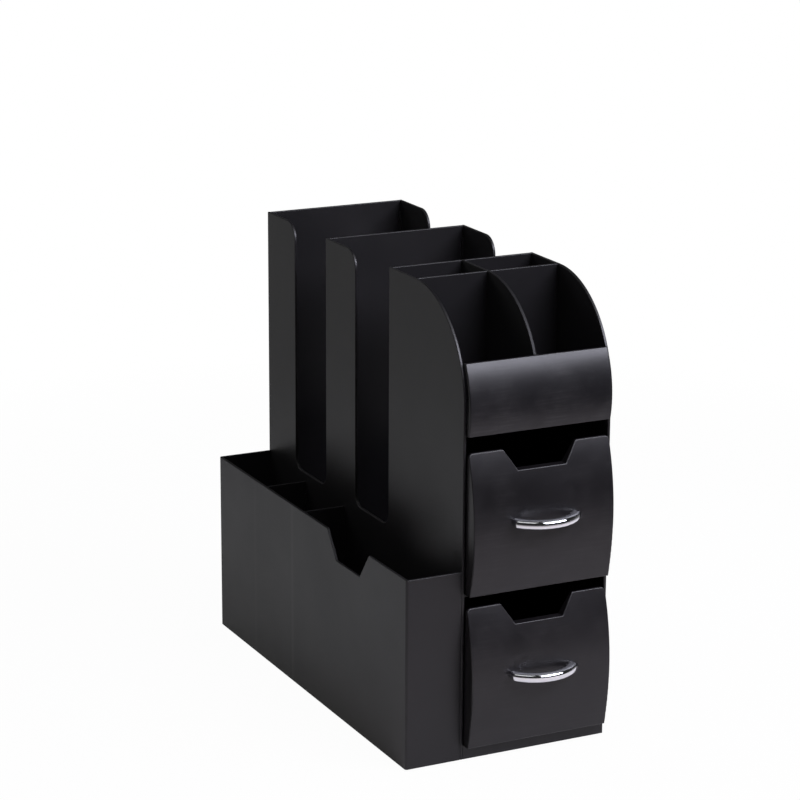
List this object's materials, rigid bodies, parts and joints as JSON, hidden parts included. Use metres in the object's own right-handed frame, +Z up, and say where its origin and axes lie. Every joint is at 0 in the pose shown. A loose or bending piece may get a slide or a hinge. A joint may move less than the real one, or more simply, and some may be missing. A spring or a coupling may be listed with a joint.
{
  "type": "condiment caddy",
  "caption": "Countertop caddy with two bow-handled drawers under an open condiment tray, tall cup channels behind and a low utensil and napkin bin along one side.",
  "frame": {"origin": "bottom centre of the whole caddy, on the surface that it stands on", "axes": "+Z up, the drawers face -Y, the low bin is on the -X side"},
  "size_m": [0.137, 0.3109, 0.2871],
  "materials": {
    "case_plastic": "satin black moulded styrene",
    "front_plastic": "satin black moulded styrene, smooth",
    "box_plastic": "satin black moulded styrene",
    "handle_chrome": "bright chrome plate",
    "screw_steel": "zinc-plated steel",
    "foot_rubber": "soft black rubber"
  },
  "bodies": {
    "caddy": {"base_plate": "case_plastic", "left_side_panel": "case_plastic", "right_side_panel": "case_plastic", "tower_back_wall": "case_plastic", "channel_divider": "case_plastic", "rear_wall": "case_plastic", "drawer_shelf": "case_plastic", "tray_floor": "case_plastic", "condiment_fascia": "case_plastic", "cross_divider": "case_plastic", "centre_divider": "case_plastic", "utensil_bin": "case_plastic", "napkin_divider": "case_plastic", "utensil_divider": "case_plastic", "bin_screws": "screw_steel", "rubber_feet": "foot_rubber"},
    "upper_drawer": {"upper_drawer_box": "box_plastic", "upper_drawer_front": "front_plastic", "upper_drawer_handle": "handle_chrome", "upper_handle_screws": "screw_steel"},
    "lower_drawer": {"lower_drawer_box": "box_plastic", "lower_drawer_front": "front_plastic", "lower_drawer_handle": "handle_chrome", "lower_handle_screws": "screw_steel"}
  },
  "joints": [
    {"name": "upper_drawer_slide", "type": "slide", "parent": "caddy", "child": "upper_drawer", "axis": [0, -1, 0], "range_m": [0, 0.0769]},
    {"name": "lower_drawer_slide", "type": "slide", "parent": "caddy", "child": "lower_drawer", "axis": [0, -1, 0], "range_m": [0, 0.0769]}
  ]
}
